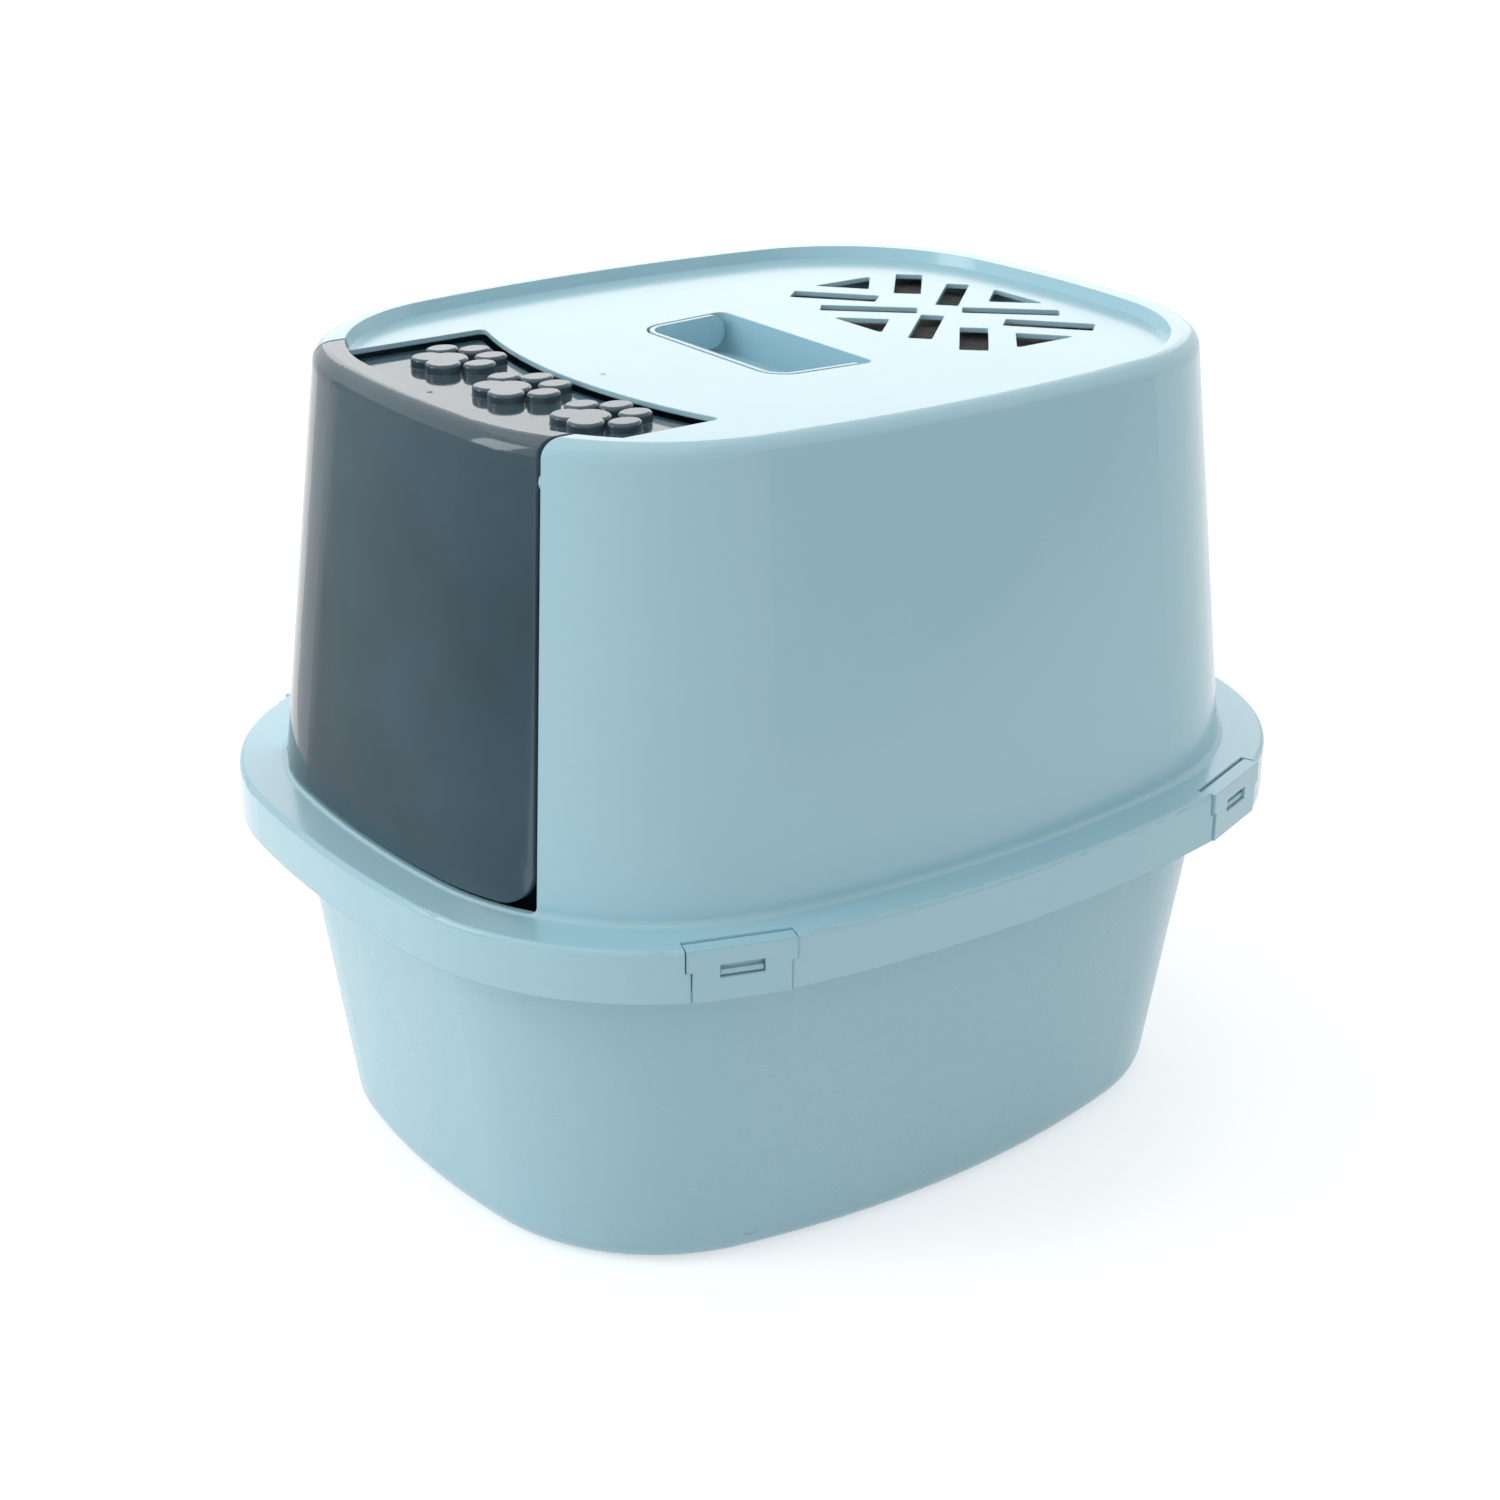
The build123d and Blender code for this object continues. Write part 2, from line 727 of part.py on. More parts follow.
def make_latch(place, name):
    """One latch: a hinged plate with a leaf on the ledge and a window for the pan's catch."""
    face = -latch_face_inset
    back = face - latch_thick
    top = ledge_top - latch_top_gap
    step = ledge_top - latch_step_drop
    with BuildPart() as latch:
        block(place, (-latch_upper_width / 2, latch_upper_width / 2), (back, face), (step + latch_gap, top))
        block(place, (-latch_lower_width / 2, latch_lower_width / 2), (back, face), (band_bottom, top))
        block(
            place,
            (-latch_upper_width / 2, latch_upper_width / 2),
            (-latch_hinge_inset, face),
            (top - latch_thick, top),
        )
        block(
            place,
            (-window_width / 2, window_width / 2),
            (back, face),
            (ledge_top - window_drop - window_height, ledge_top - window_drop),
            mode=Mode.SUBTRACT,
        )
        barrel_plane = Plane(
            origin=place.from_local_coords((-latch_upper_width / 2, -latch_hinge_inset, latch_hinge_z)),
            x_dir=place.y_dir,
            z_dir=place.x_dir,
        )
        rod(barrel_plane, (0, 0), latch_barrel_radius, latch_upper_width)
        rod(
            barrel_plane.offset(-latch_pin_length),
            (0, 0),
            latch_pin_radius,
            latch_upper_width + 2 * latch_pin_length,
        )
    latch.part.label = name
    return latch.part


export_step(pan.part, "parts/pan.step")
export_step(hood.part, "parts/hood.step")
export_step(flap.part, "parts/flap.step")
export_step(carry_handle.part, "parts/carry_handle.step")
export_step(filter_tray.part, "parts/filter_tray.step")
export_step(charcoal_filter.part, "parts/charcoal_filter.step")
for latch_name, latch_place in latch_places.items():
    export_step(make_latch(latch_place, latch_name), "parts/" + latch_name + ".step")
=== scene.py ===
"""Looks of a covered litter box: glossy pale shell, smoked swing flap, felt filter pad, stage and camera."""

import math
import random

import bmesh
import bpy
from bpy.props import FloatProperty, FloatVectorProperty, IntProperty, PointerProperty
from mathutils import Matrix, Vector, noise


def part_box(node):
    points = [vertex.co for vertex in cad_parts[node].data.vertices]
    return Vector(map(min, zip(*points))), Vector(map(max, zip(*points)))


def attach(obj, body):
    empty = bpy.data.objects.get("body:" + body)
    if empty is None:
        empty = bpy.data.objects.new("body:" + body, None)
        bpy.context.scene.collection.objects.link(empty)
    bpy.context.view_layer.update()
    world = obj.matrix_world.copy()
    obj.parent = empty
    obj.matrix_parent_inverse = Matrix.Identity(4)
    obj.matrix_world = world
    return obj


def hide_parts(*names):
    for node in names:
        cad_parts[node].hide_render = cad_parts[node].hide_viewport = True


bl_info = {
    "name": "Covered litter box looks",
    "version": (1, 0, 0),
    "blender": (4, 5, 0),
    "location": "View3D > Sidebar > Litter box",
    "description": "Finishes, felt pad, moulding marks, studio and camera for a covered litter box",
    "category": "Object",
}

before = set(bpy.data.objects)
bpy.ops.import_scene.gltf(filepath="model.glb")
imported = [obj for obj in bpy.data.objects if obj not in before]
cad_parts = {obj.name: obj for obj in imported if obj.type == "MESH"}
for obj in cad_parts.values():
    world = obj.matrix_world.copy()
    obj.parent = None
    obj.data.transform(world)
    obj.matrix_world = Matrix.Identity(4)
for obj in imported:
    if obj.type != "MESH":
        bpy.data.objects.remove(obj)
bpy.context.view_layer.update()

LATCH_NODES = ("latch_front_right", "latch_front_left", "latch_rear_right", "latch_rear_left")
PHOTO_SIDE = 1500.0
SENSOR = 36.0
EDGE_ROUND = 0.0009
FLAP_EDGE_ROUND = 0.0014
PAD_CORNER = 0.004
PAD_ROLL_WIDTH = 0.004
PAD_ROLL_DEPTH = 0.0022
PAD_TOP_GAP = 0.0006
PAD_UNEVEN = 0.00035
PAD_UNEVEN_SCALE = 160.0
NEEDLE_RADIUS = 0.0016
FIBRE_SEED = 11
FIBRE_STEPS = 5
FIBRE_HALF_WIDTH = 0.00007
GATE_SPOKES = 24
FLOOR_HALF = 14.0
FLOOR_GLOW = 0.50
WORLD_LIGHT = 0.58


class Wire:
    """One output of a node, so that shader maths reads as plain expressions."""

    def __init__(self, bench, socket):
        self.bench = bench
        self.socket = socket

    def _sum(self, operation, first, second):
        node = self.bench.node("ShaderNodeMath", {"operation": operation}, {0: first, 1: second})
        return Wire(self.bench, node.outputs[0])

    def __add__(self, other):
        return self._sum("ADD", self, other)

    def __radd__(self, other):
        return self._sum("ADD", other, self)

    def __sub__(self, other):
        return self._sum("SUBTRACT", self, other)

    def __rsub__(self, other):
        return self._sum("SUBTRACT", other, self)

    def __mul__(self, other):
        return self._sum("MULTIPLY", self, other)

    def __rmul__(self, other):
        return self._sum("MULTIPLY", other, self)

    def __pow__(self, other):
        return self._sum("POWER", self, other)


class Bench:
    """Builds one node tree: each node from its type, its settings and what goes into its sockets."""

    def __init__(self, tree):
        self.tree = tree
        tree.nodes.clear()

    def node(self, kind, settings=None, sockets=None):
        made = self.tree.nodes.new(kind)
        for name, value in (settings or {}).items():
            if name == "stops":
                ramp = made.color_ramp
                while len(ramp.elements) < len(value):
                    ramp.elements.new(0.5)
                for element, (position, colour) in zip(ramp.elements, value):
                    element.position = position
                    element.color = colour
            else:
                setattr(made, name, value)
        for name, value in (sockets or {}).items():
            if isinstance(value, Wire):
                self.tree.links.new(value.socket, made.inputs[name])
            else:
                made.inputs[name].default_value = value
        return made

    def wire(self, kind, settings=None, sockets=None, output=0):
        return Wire(self, self.node(kind, settings, sockets).outputs[output])

    def place(self):
        """Coordinates that stay with the piece, in metres."""
        return self.wire("ShaderNodeTexCoord", output="Object")

    def cloud(self, place, scale, detail=2.0, roughness=0.5):
        """Soft noise from 0 to 1."""
        return self.wire(
            "ShaderNodeTexNoise", {}, {"Vector": place, "Scale": scale, "Detail": detail, "Roughness": roughness}
        )

    def stretched(self, place, scale):
        """Coordinates scaled differently along each axis."""
        return self.wire("ShaderNodeMapping", {}, {"Vector": place, "Scale": scale})

    def ramp(self, value, stops):
        """A value turned into black-to-white or coloured steps."""
        return self.wire("ShaderNodeValToRGB", {"stops": stops}, {"Fac": value})

    def blend(self, factor, first, second):
        """Two colours mixed by a factor."""
        return self.wire("ShaderNodeMix", {"data_type": "RGBA"}, {0: factor, 6: first, 7: second}, output=2)

    def bump(self, height, distance, strength, normal=None):
        """A height turned into a bent normal."""
        sockets = {"Height": height, "Distance": distance, "Strength": strength}
        if normal is not None:
            sockets["Normal"] = normal
        return self.wire("ShaderNodeBump", {}, sockets)

    def rounded_edges(self, radius):
        """The surface normal as if every edge had a small round, which catches a line of light."""
        return self.wire("ShaderNodeBevel", {"samples": 6}, {"Radius": radius}, output="Normal")

    def looked_at(self):
        """One where the camera, a reflection or a see-through piece looks, and nought for light."""
        path = self.node("ShaderNodeLightPath")
        seen, mirrored, through = (
            Wire(self, path.outputs[name]) for name in ("Is Camera Ray", "Is Glossy Ray", "Is Transmission Ray")
        )
        return seen + mirrored + through

    def finish(self, sockets):
        """The one surface shader and the output."""
        shader = self.wire("ShaderNodeBsdfPrincipled", {}, sockets)
        self.node("ShaderNodeOutputMaterial", {}, {"Surface": shader})


def grey(level):
    return (level, level, level, 1.0)


def shade(colour, factor):
    """A colour made lighter or darker."""
    return tuple(min(1.0, c * factor) for c in colour[:3]) + (1.0,)


def new_material(name):
    material = bpy.data.materials.new(name)
    material.use_nodes = True
    return material, Bench(material.node_tree)


def shell_plastic(name, colour, base_roughness, edge_radius, coat):
    """Pale moulded polypropylene: faint cloudiness, fine skin texture, handling haze and a few hairline scuffs."""
    material, bench = new_material(name)
    place = bench.place()
    cloud = bench.cloud(place, 7.0, 3.0)
    patches = bench.cloud(place, 26.0, 2.0)
    skin = bench.cloud(place, 1400.0, 1.0)
    peel = bench.cloud(place, 160.0, 1.0)
    tone = bench.ramp(cloud * 0.7 + patches * 0.3, [(0.32, shade(colour, 0.985)), (0.68, shade(colour, 1.012))])
    hair = bench.cloud(bench.stretched(place, (9.0, 260.0, 22.0)), 3.0, 2.0)
    scuffs = bench.ramp(hair, [(0.70, grey(0.0)), (0.76, grey(1.0))])
    handled = bench.ramp(patches, [(0.42, grey(0.0)), (0.62, grey(1.0))])
    colour_out = bench.blend(scuffs * 0.03, tone, shade(colour, 1.1))
    roughness = base_roughness + handled * 0.02 + scuffs * 0.05 + skin * 0.02
    relief = skin * 0.6 + peel * 0.4
    normal = bench.bump(relief, 0.00001, 0.3, bench.rounded_edges(edge_radius))
    bench.finish(
        {
            "Base Color": colour_out,
            "Roughness": roughness,
            "IOR": 1.49,
            "Specular IOR Level": 0.5,
            "Coat Weight": coat,
            "Coat Roughness": 0.12,
            "Normal": normal,
        }
    )
    return material


def smoked_plastic(name, colour, clear_share):
    """Smoked see-through polystyrene: deep gloss, slightly uneven tint, fine wipe marks."""
    material, bench = new_material(name)
    place = bench.place()
    tint = bench.cloud(place, 11.0, 3.0)
    wipe = bench.cloud(bench.stretched(place, (60.0, 60.0, 8.0)), 2.0, 3.0)
    ripple = bench.cloud(place, 60.0, 1.0)
    tone = bench.ramp(tint, [(0.3, shade(colour, 0.85)), (0.7, shade(colour, 1.15))])
    smear = bench.ramp(wipe, [(0.50, grey(0.0)), (0.72, grey(1.0))])
    normal = bench.bump(ripple, 0.00006, 0.25, bench.rounded_edges(FLAP_EDGE_ROUND))
    bench.finish(
        {
            "Base Color": tone,
            "Roughness": 0.07 + smear * 0.06,
            "IOR": 1.5,
            "Specular IOR Level": 0.45,
            "Coat Weight": 0.3,
            "Coat Roughness": 0.06,
            "Alpha": (1.0 - clear_share) + tint * 0.03,
            "Normal": normal,
        }
    )
    return material


def charcoal_felt(name, colour):
    """Needled felt with charcoal grains: crossed fibres, pores darkened with painted shade, and paler lint."""
    material, bench = new_material(name)
    place = bench.place()
    lay_one = bench.cloud(bench.stretched(place, (900.0, 160.0, 400.0)), 2.0, 3.0)
    lay_two = bench.cloud(bench.stretched(place, (160.0, 900.0, 400.0)), 2.0, 3.0)
    grain = bench.wire("ShaderNodeTexVoronoi", {}, {"Vector": place, "Scale": 520.0}, output="Distance")
    lint = bench.cloud(place, 2100.0, 2.0)
    weave = lay_one * 0.5 + lay_two * 0.5
    tone = bench.ramp(weave, [(0.40, shade(colour, 0.35)), (0.52, shade(colour, 1.0)), (0.64, shade(colour, 2.4))])
    # Painted shade: small spots where the felt colour is darkened to stand for pores, with no relief under them.
    painted_pore_shade = bench.ramp(grain, [(0.10, grey(1.0)), (0.42, grey(0.0))])
    specks = bench.ramp(lint, [(0.62, grey(0.0)), (0.70, grey(1.0))])
    colour_out = bench.blend(specks * 0.35, bench.blend(painted_pore_shade * 0.5, tone, shade(colour, 0.25)), grey(0.34))
    bench.finish(
        {
            "Base Color": colour_out,
            "Roughness": 0.86 + lint * 0.1,
            "Specular IOR Level": 0.2,
            "Sheen Weight": 0.35,
            "Sheen Roughness": 0.5,
            "Normal": bench.bump(weave + lint * 0.4, 0.0006, 0.9),
        }
    )
    return material


def paint_nodes(names, material):
    """Gives CAD nodes a finish through their own material slots."""
    for name in names:
        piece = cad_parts[name]
        if not piece.material_slots:
            piece.data.materials.append(material)
        for slot in piece.material_slots:
            slot.material = material


def new_piece(name, mesh_maker, material, smooth=True):
    """A mesh object from a function that fills a bmesh."""
    mesh = bpy.data.meshes.new(name)
    shape = bmesh.new()
    mesh_maker(shape)
    bmesh.ops.recalc_face_normals(shape, faces=shape.faces)
    shape.to_mesh(mesh)
    shape.free()
    for face in mesh.polygons:
        face.use_smooth = smooth
    mesh.materials.append(material)
    piece = bpy.data.objects.new(name, mesh)
    bpy.context.scene.collection.objects.link(piece)
    return piece


def camera_axes(view):
    """The camera's right, up and backward directions from its three angles."""
    azimuth, elevation, roll = view.azimuth, view.elevation, view.roll
    back = Vector(
        (
            math.sin(azimuth) * math.cos(elevation),
            -math.cos(azimuth) * math.cos(elevation),
            math.sin(elevation),
        )
    )
    level = Vector((math.cos(azimuth), math.sin(azimuth), 0.0))
    rise = back.cross(level)
    right = level * math.cos(roll) + rise * math.sin(roll)
    up = rise * math.cos(roll) - level * math.sin(roll)
    return right, up, back


def camera_point(view):
    """Where the camera stands."""
    back = camera_axes(view)[2]
    return Vector((0.0, 0.0, view.target_height)) + back * view.distance


def seen_through(view, pixel_x, pixel_y, node):
    """Where the line of sight through a pixel of the photograph meets a CAD node, and the surface normal there."""
    right, up, back = camera_axes(view)
    centre_x = PHOTO_SIDE * (0.5 - view.shift_x)
    direction = right * (pixel_x - centre_x) - up * (pixel_y - PHOTO_SIDE / 2) - back * view.focal_pixels
    found, spot, normal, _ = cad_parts[node].ray_cast(camera_point(view), direction.normalized())
    if not found:
        raise RuntimeError(f"the line of sight at {pixel_x}, {pixel_y} misses {node}")
    return spot, normal


class LitterBoxFinish(bpy.types.PropertyGroup):
    """Colours and surface values of the litter box."""

    shell_colour: FloatVectorProperty(
        name="Shell colour",
        description="Colour of the hood, handle, tray and latches",
        subtype="COLOR",
        size=3,
        default=(0.440, 0.715, 0.815),
        min=0.0,
        max=1.0,
    )
    pan_colour: FloatVectorProperty(
        name="Pan colour",
        description="Colour of the pan",
        subtype="COLOR",
        size=3,
        default=(0.420, 0.680, 0.775),
        min=0.0,
        max=1.0,
    )
    smoke_colour: FloatVectorProperty(
        name="Smoke colour",
        description="Tint of the see-through flap",
        subtype="COLOR",
        size=3,
        default=(0.055, 0.105, 0.135),
        min=0.0,
        max=1.0,
    )
    felt_colour: FloatVectorProperty(
        name="Felt colour",
        description="Colour of the charcoal felt",
        subtype="COLOR",
        size=3,
        default=(0.052, 0.046, 0.042),
        min=0.0,
        max=1.0,
    )
    shell_roughness: FloatProperty(
        name="Shell roughness",
        description="Roughness of the pale plastic before wear",
        default=0.20,
        min=0.0,
        max=1.0,
        subtype="FACTOR",
    )
    clear_share: FloatProperty(
        name="Flap clearness",
        description="Share of light that passes straight through the flap",
        default=0.10,
        min=0.0,
        max=1.0,
        subtype="FACTOR",
    )


class LitterBoxSizes(bpy.types.PropertyGroup):
    """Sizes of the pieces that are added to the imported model."""

    pad_crown: FloatProperty(
        name="Pad crown",
        description="How far the felt pad's edges sink below its middle",
        default=0.0012,
        unit="LENGTH",
    )
    pad_cell: FloatProperty(
        name="Pad cell", description="Grid step of the felt pad's mesh", default=0.002, unit="LENGTH"
    )
    stitch_pitch: FloatProperty(
        name="Needle pitch",
        description="Distance between the needle dimples of the felt",
        default=0.009,
        unit="LENGTH",
    )
    stitch_depth: FloatProperty(
        name="Needle depth", description="Depth of a needle dimple", default=0.0007, unit="LENGTH"
    )
    fibre_count: IntProperty(name="Fibres", description="Loose fibres on the felt", default=1400, min=0)
    fibre_length: FloatProperty(
        name="Fibre length", description="Length of a loose fibre", default=0.005, unit="LENGTH"
    )
    gate_radius: FloatProperty(
        name="Gate mark radius",
        description="Radius of the small moulding marks",
        default=0.0016,
        unit="LENGTH",
    )


class LitterBoxView(bpy.types.PropertyGroup):
    """The camera of the photograph."""

    azimuth: FloatProperty(
        name="Azimuth", description="Turn round the box", default=math.radians(52.71), unit="ROTATION"
    )
    elevation: FloatProperty(
        name="Elevation", description="Angle above the floor", default=math.radians(23.04), unit="ROTATION"
    )
    roll: FloatProperty(name="Roll", description="Tilt of the frame", default=math.radians(0.63), unit="ROTATION")
    distance: FloatProperty(
        name="Distance", description="From the camera to its target", default=1.3411, unit="LENGTH"
    )
    target_height: FloatProperty(
        name="Target height", description="Height of the target above the floor", default=0.1797, unit="LENGTH"
    )
    focal_pixels: FloatProperty(
        name="Focal length", description="Focal length in pixels of the square photograph", default=2605.2
    )
    shift_x: FloatProperty(name="Shift", description="Sideways shift of the frame", default=-0.006)


class LITTERBOX_OT_shell(bpy.types.Operator):
    """Finish the pan, hood, handle and filter tray in pale moulded plastic"""

    bl_idname = "litterbox.shell"
    bl_label = "Shell plastic"

    def execute(self, context):
        finish = context.scene.litterbox_finish
        gloss = shell_plastic("hood_plastic_finish", finish.shell_colour, finish.shell_roughness, EDGE_ROUND, 0.25)
        satin = shell_plastic("pan_plastic_finish", finish.pan_colour, finish.shell_roughness + 0.06, EDGE_ROUND, 0.15)
        paint_nodes(("hood", "carry_handle", "filter_tray"), gloss)
        paint_nodes(("pan",), satin)
        return {"FINISHED"}


class LITTERBOX_OT_latches(bpy.types.Operator):
    """Finish the four latches in pale moulded plastic"""

    bl_idname = "litterbox.latches"
    bl_label = "Latch plastic"

    def execute(self, context):
        finish = context.scene.litterbox_finish
        paint_nodes(
            LATCH_NODES,
            shell_plastic("latch_plastic_finish", finish.shell_colour, finish.shell_roughness + 0.02, EDGE_ROUND, 0.2),
        )
        return {"FINISHED"}


class LITTERBOX_OT_flap(bpy.types.Operator):
    """Finish the swing flap in smoked see-through plastic"""

    bl_idname = "litterbox.flap"
    bl_label = "Smoked flap"

    def execute(self, context):
        finish = context.scene.litterbox_finish
        paint_nodes(("flap",), smoked_plastic("smoked_plastic_finish", finish.smoke_colour, finish.clear_share))
        return {"FINISHED"}


class LITTERBOX_OT_felt_pad(bpy.types.Operator):
    """Make the needled charcoal felt pad that lies in the filter tray"""

    bl_idname = "litterbox.felt_pad"
    bl_label = "Felt pad"

    def execute(self, context):
        sizes = context.scene.litterbox_sizes
        low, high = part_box("charcoal_filter")
        middle = (low + high) / 2
        half = (high - low) / 2
        columns = round(2 * half.x / sizes.pad_cell)
        rows = round(2 * half.y / sizes.pad_cell)

        def outline(x, y):
            """A grid point moved in so that the pad's corners are round."""
            over_x = abs(x) - (half.x - PAD_CORNER)
            over_y = abs(y) - (half.y - PAD_CORNER)
            if over_x > 0 and over_y > 0:
                reach = max(over_x, over_y) / math.hypot(over_x, over_y)
                x = math.copysign(half.x - PAD_CORNER + over_x * reach, x)
                y = math.copysign(half.y - PAD_CORNER + over_y * reach, y)
            return x, y

        def top_height(x, y):
            """Height of the pad's upper face: crowned, rolled at the edge, dimpled and uneven."""
            edge = min(half.x - abs(x), half.y - abs(y))
            roll = 1.0 - min(1.0, max(0.0, edge) / PAD_ROLL_WIDTH)
            pitch = sizes.stitch_pitch
            row = round(y / pitch)
            offset_x = pitch / 2 if row % 2 else 0.0
            near_x = x - offset_x - round((x - offset_x) / pitch) * pitch
            dimple = math.exp(-(near_x**2 + (y - row * pitch) ** 2) / (NEEDLE_RADIUS**2))
            uneven = noise.noise(Vector((x * PAD_UNEVEN_SCALE, y * PAD_UNEVEN_SCALE, 0.0))) * PAD_UNEVEN
            fall = sizes.pad_crown * max((x / half.x) ** 4, (y / half.y) ** 4)
            sunk = fall + roll**2 * PAD_ROLL_DEPTH + dimple * sizes.stitch_depth
            return half.z - PAD_TOP_GAP - sunk + uneven

        def fill(shape):
            layers = {}
            for level in (1, -1):
                for i in range(columns + 1):
                    for j in range(rows + 1):
                        x, y = outline(-half.x + 2 * half.x * i / columns, -half.y + 2 * half.y * j / rows)
                        z = top_height(x, y) if level > 0 else -half.z
                        layers[level, i, j] = shape.verts.new(middle + Vector((x, y, z)))
            for level in (1, -1):
                for i in range(columns):
                    for j in range(rows):
                        shape.faces.new(
                            [
                                layers[level, i, j],
                                layers[level, i + 1, j],
                                layers[level, i + 1, j + 1],
                                layers[level, i, j + 1],
                            ]
                        )
            border = [(i, 0) for i in range(columns)]
            border += [(columns, j) for j in range(rows)]
            border += [(i, rows) for i in range(columns, 0, -1)]
            border += [(0, j) for j in range(rows, 0, -1)]
            for here, there in zip(border, border[1:] + border[:1]):
                shape.faces.new(
                    [layers[1, *here], layers[1, *there], layers[-1, *there], layers[-1, *here]]
                )

        felt = charcoal_felt("charcoal_felt_finish", context.scene.litterbox_finish.felt_colour)
        pad = new_piece("felt_pad", fill, felt)
        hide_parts("charcoal_filter")
        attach(pad, "tray")

        chance = random.Random(FIBRE_SEED)

        def strew(shape):
            """Short curved fibres that lie on the upper face."""
            for _ in range(sizes.fibre_count):
                x = chance.uniform(-0.94, 0.94) * half.x
                y = chance.uniform(-0.92, 0.92) * half.y
                angle = chance.uniform(0.0, math.tau)
                bend = chance.uniform(-1.1, 1.1)
                length = sizes.fibre_length * chance.uniform(0.4, 1.0)
                pairs = []
                for step in range(FIBRE_STEPS):
                    share = step / (FIBRE_STEPS - 1)
                    turn = angle + bend * share
                    x += math.cos(turn) * length / FIBRE_STEPS
                    y += math.sin(turn) * length / FIBRE_STEPS
                    side = Vector((-math.sin(turn), math.cos(turn), 0.0)) * FIBRE_HALF_WIDTH
                    lift = 0.0002 + 0.0005 * math.sin(math.pi * share)
                    spot = middle + Vector((x, y, top_height(x, y) + lift))
                    spot.z = min(spot.z, high.z - 0.0001)
                    pairs.append((shape.verts.new(spot - side), shape.verts.new(spot + side)))
                for (a, b), (c, d) in zip(pairs, pairs[1:]):
                    shape.faces.new([a, b, d, c])

        fibres = new_piece("felt_fibres", strew, felt)
        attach(fibres, "tray")
        return {"FINISHED"}


class LITTERBOX_OT_gate_marks(bpy.types.Operator):
    """Make the small marks that moulding leaves on the hood and the flap"""

    bl_idname = "litterbox.gate_marks"
    bl_label = "Gate marks"

    def execute(self, context):
        radius = context.scene.litterbox_sizes.gate_radius
        view = context.scene.litterbox_view
        marks = (
            ("hood_gate_ledge", "hood", "base", "hood_plastic", 1025.0, 860.0),
            ("hood_gate_top", "hood", "base", "hood_plastic", 603.0, 374.0),
            ("flap_gate", "flap", "flap", "smoked_plastic", 430.0, 392.0),
        )
        profile = ((1.0, -0.05), (0.92, 0.06), (0.72, 0.09), (0.55, 0.02), (0.30, 0.02), (0.22, 0.12), (0.0, 0.14))
        for name, node, body, slot, pixel_x, pixel_y in marks:
            spot, normal = seen_through(view, pixel_x, pixel_y, node)
            turn = normal.to_track_quat("Z", "Y").to_matrix().to_4x4()

            def revolve(shape, turn=turn, spot=spot):
                rings = []
                for share, rise in profile[:-1]:
                    ring = []
                    for k in range(GATE_SPOKES):
                        angle = math.tau * k / GATE_SPOKES
                        out = Vector((share * math.cos(angle), share * math.sin(angle), rise)) * radius
                        ring.append(shape.verts.new(spot + turn @ out))
                    rings.append(ring)
                tip = shape.verts.new(spot + turn @ Vector((0.0, 0.0, radius * profile[-1][1])))
                for inner, outer in zip(rings[1:], rings):
                    for k in range(GATE_SPOKES):
                        following = (k + 1) % GATE_SPOKES
                        shape.faces.new([outer[k], outer[following], inner[following], inner[k]])
                for k in range(GATE_SPOKES):
                    shape.faces.new([rings[-1][k], rings[-1][(k + 1) % GATE_SPOKES], tip])

            mark = new_piece(name, revolve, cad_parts[node].material_slots[0].material)
            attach(mark, body)
        return {"FINISHED"}


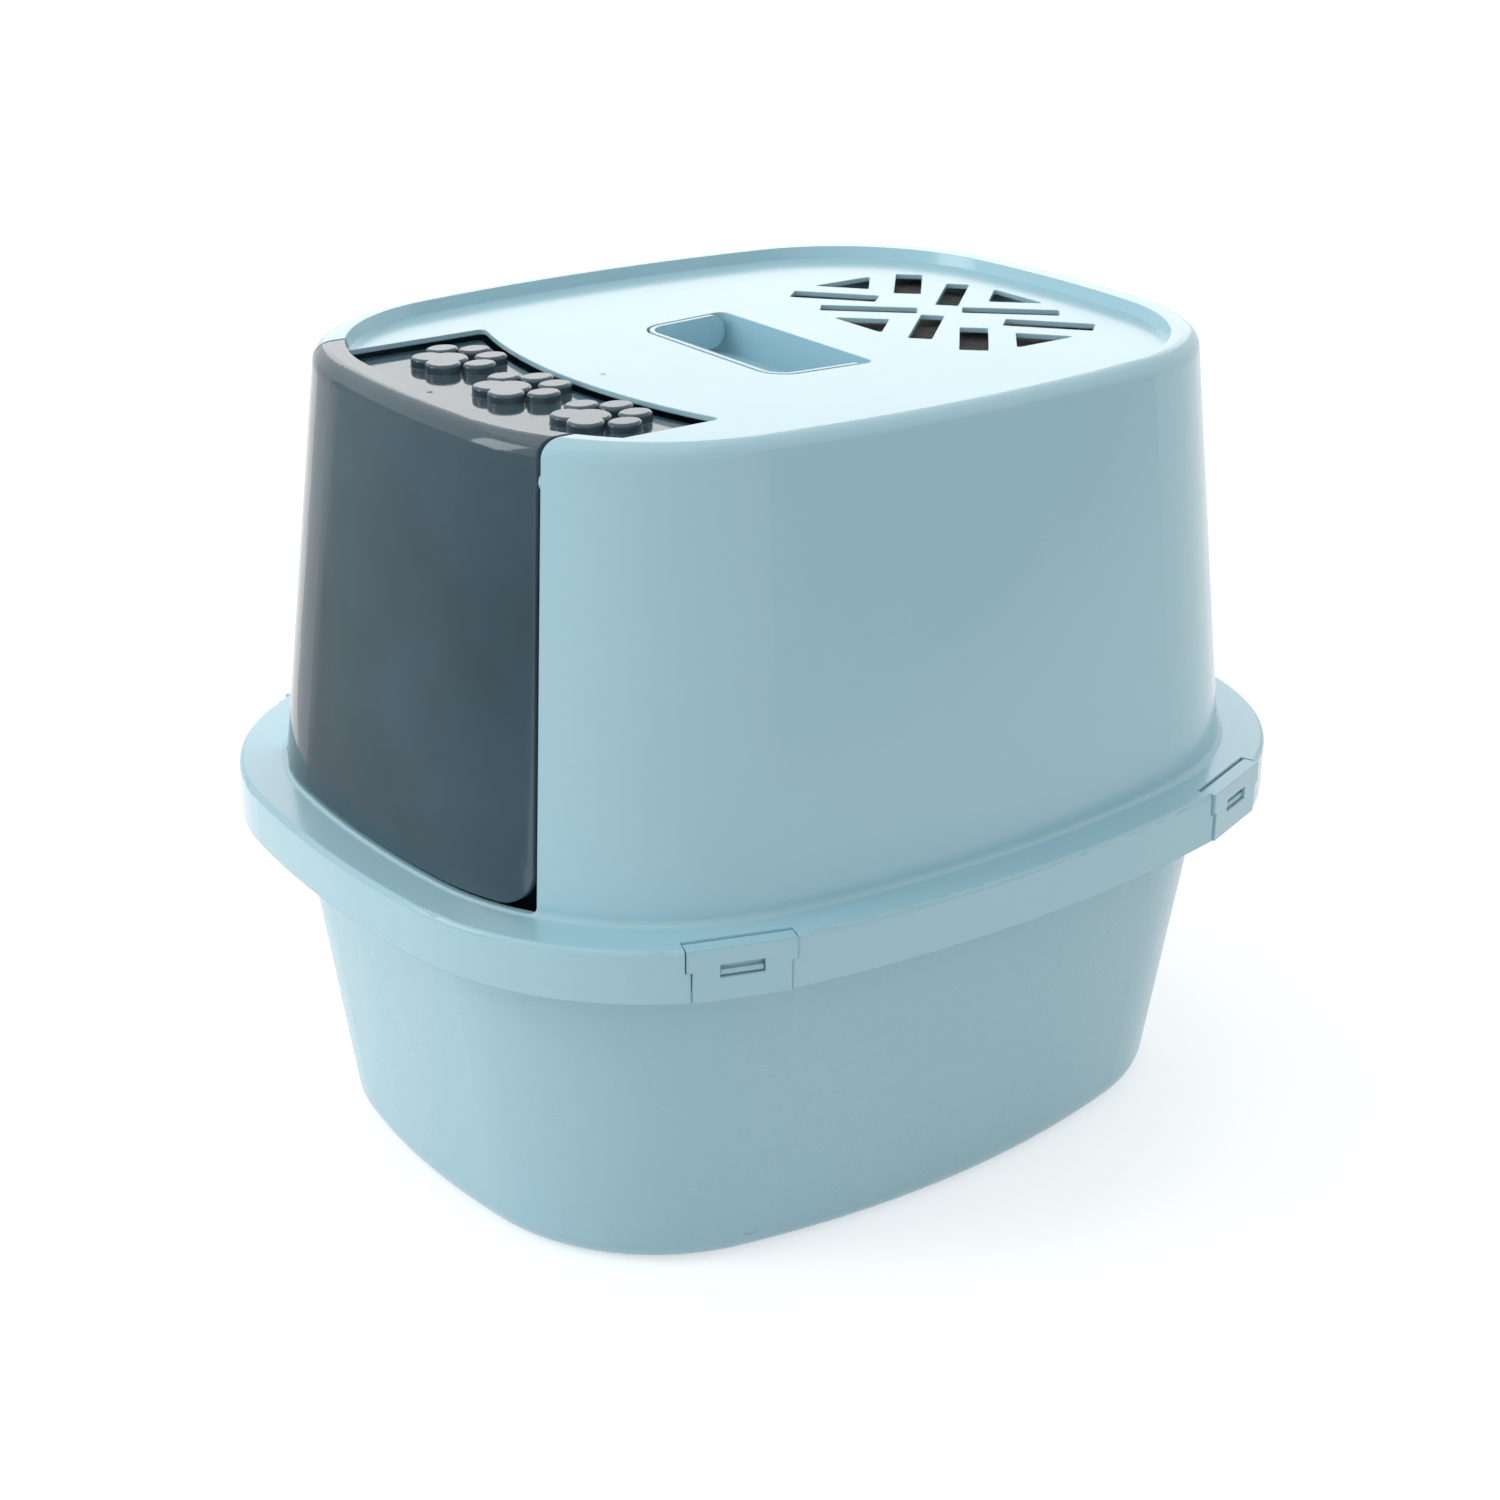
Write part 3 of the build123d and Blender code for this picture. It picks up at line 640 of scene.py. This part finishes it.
class LITTERBOX_OT_stage(bpy.types.Operator):
    """Make the floor, the soft lamps, the world and the camera"""

    bl_idname = "litterbox.stage"
    bl_label = "Studio"

    def execute(self, context):
        self.add_floor()
        self.add_world(context.scene)
        self.add_lamps()
        self.add_flags()
        self.add_camera(context.scene)
        context.scene.view_settings.view_transform = "Standard"
        return {"FINISHED"}

    def add_floor(self):
        material, bench = new_material("floor_finish")
        place = bench.place()
        paper = bench.cloud(place, 5.0, 3.0)
        tone = bench.ramp(paper, [(0.3, grey(0.86)), (0.7, grey(0.88))])
        lit = bench.wire("ShaderNodeBsdfDiffuse", {}, {"Color": tone})
        glow = bench.wire("ShaderNodeEmission", {}, {"Color": grey(1.0), "Strength": bench.looked_at() * FLOOR_GLOW})
        both = bench.wire("ShaderNodeAddShader", {}, {0: lit, 1: glow})
        bench.node("ShaderNodeOutputMaterial", {}, {"Surface": both})

        def spread(shape):
            bmesh.ops.create_grid(shape, x_segments=8, y_segments=8, size=FLOOR_HALF)

        floor = new_piece("floor", spread, material)

    def add_world(self, scene):
        world = bpy.data.worlds.new("studio_world")
        world.use_nodes = True
        scene.world = world
        bench = Bench(world.node_tree)
        shown = bench.looked_at()
        strength = shown + (1.0 - shown) * WORLD_LIGHT
        sky = bench.wire("ShaderNodeBackground", {}, {"Color": grey(1.0), "Strength": strength})
        bench.node("ShaderNodeOutputWorld", {}, {"Surface": sky})

    def add_lamps(self):
        lamps = (
            ("lamp_top", (-0.3, -0.3, 2.0), (0.0, 0.0, 0.2), 1.6, 1.6, 3.5),
            ("lamp_left", (-0.9, -2.2, 1.3), (0.0, 0.0, 0.25), 1.0, 1.6, 18.0),
            ("lamp_back", (-1.9, 1.45, 1.0), (0.0, 0.0, 0.4), 2.2, 1.0, 6.5),
        )
        for name, place, aim, width, length, power in lamps:
            data = bpy.data.lights.new(name, "AREA")
            data.shape = "RECTANGLE"
            data.size = width
            data.size_y = length
            data.energy = power
            lamp = bpy.data.objects.new(name, data)
            direction = Vector(aim) - Vector(place)
            lamp.matrix_world = Matrix.Translation(place) @ direction.to_track_quat("-Z", "Y").to_matrix().to_4x4()
            lamp.visible_camera = False
            bpy.context.scene.collection.objects.link(lamp)

    def add_flags(self):
        """Dim cards that only reflections see, as a studio hangs them to shape gloss."""
        flags = (
            (
                "flag_right",
                (1.5, 1.28, 0.75),
                (-1.0, 0.0, 0.0),
                2.25,
                1.5,
                "Y",
                [(0.0, grey(0.90)), (0.14, grey(0.30)), (1.0, grey(0.22))],
            ),
            (
                "flag_front",
                (-0.34, -0.53, 0.23),
                (0.583, 0.813, 0.0),
                1.13,
                0.46,
                "X",
                [(0.0, grey(0.80)), (0.27, grey(0.80)), (0.29, grey(0.42)), (1.0, grey(0.34))],
            ),
        )
        for name, place, facing, width, height, axis, stops in flags:
            material, bench = new_material(name + "_cloth")
            spot = bench.wire("ShaderNodeTexCoord", output="Generated")
            across = bench.wire("ShaderNodeSeparateXYZ", {}, {"Vector": spot}, output=axis)
            glow = bench.wire("ShaderNodeEmission", {}, {"Color": bench.ramp(across, stops), "Strength": 1.0})
            bench.node("ShaderNodeOutputMaterial", {}, {"Surface": glow})
            turn = Vector(facing).to_track_quat("Z", "Y").to_matrix().to_4x4()

            def hang(shape, place=place, turn=turn, width=width, height=height):
                corners = ((-1, -1), (1, -1), (1, 1), (-1, 1))
                shape.faces.new(
                    [
                        shape.verts.new(Vector(place) + turn @ Vector((width / 2 * a, height / 2 * b, 0.0)))
                        for a, b in corners
                    ]
                )

            flag = new_piece(name, hang, material, smooth=False)
            flag.visible_camera = False
            flag.visible_diffuse = False
            flag.visible_transmission = False
            flag.visible_shadow = False

    def add_camera(self, scene):
        view = scene.litterbox_view
        right, up, back = camera_axes(view)
        data = bpy.data.cameras.new("photo_camera")
        data.sensor_width = SENSOR
        data.lens = view.focal_pixels / PHOTO_SIDE * SENSOR
        data.shift_x = view.shift_x
        camera = bpy.data.objects.new("photo_camera", data)
        turn = Matrix((right, up, back)).transposed().to_4x4()
        camera.matrix_world = Matrix.Translation(camera_point(view)) @ turn
        scene.collection.objects.link(camera)
        scene.camera = camera


class LITTERBOX_PT_sidebar(bpy.types.Panel):
    """Lists the steps that dress the litter box"""

    bl_idname = "LITTERBOX_PT_sidebar"
    bl_label = "Litter box"
    bl_space_type = "VIEW_3D"
    bl_region_type = "UI"
    bl_category = "Litter box"

    def draw(self, context):
        for step in STEPS:
            self.layout.operator(step.bl_idname, text=step.bl_label)


STEPS = (
    LITTERBOX_OT_shell,
    LITTERBOX_OT_latches,
    LITTERBOX_OT_flap,
    LITTERBOX_OT_felt_pad,
    LITTERBOX_OT_gate_marks,
    LITTERBOX_OT_stage,
)
GROUPS = (LitterBoxFinish, LitterBoxSizes, LitterBoxView)


def register():
    for group in (*GROUPS, *STEPS, LITTERBOX_PT_sidebar):
        bpy.utils.register_class(group)
    bpy.types.Scene.litterbox_finish = PointerProperty(type=LitterBoxFinish)
    bpy.types.Scene.litterbox_sizes = PointerProperty(type=LitterBoxSizes)
    bpy.types.Scene.litterbox_view = PointerProperty(type=LitterBoxView)


def unregister():
    del bpy.types.Scene.litterbox_view
    del bpy.types.Scene.litterbox_sizes
    del bpy.types.Scene.litterbox_finish
    for group in reversed((*GROUPS, *STEPS, LITTERBOX_PT_sidebar)):
        bpy.utils.unregister_class(group)


def main():
    """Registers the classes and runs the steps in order."""
    register()
    bpy.ops.litterbox.shell()
    bpy.ops.litterbox.latches()
    bpy.ops.litterbox.flap()
    bpy.ops.litterbox.felt_pad()
    bpy.ops.litterbox.gate_marks()
    bpy.ops.litterbox.stage()


if __name__ == "__main__":
    main()
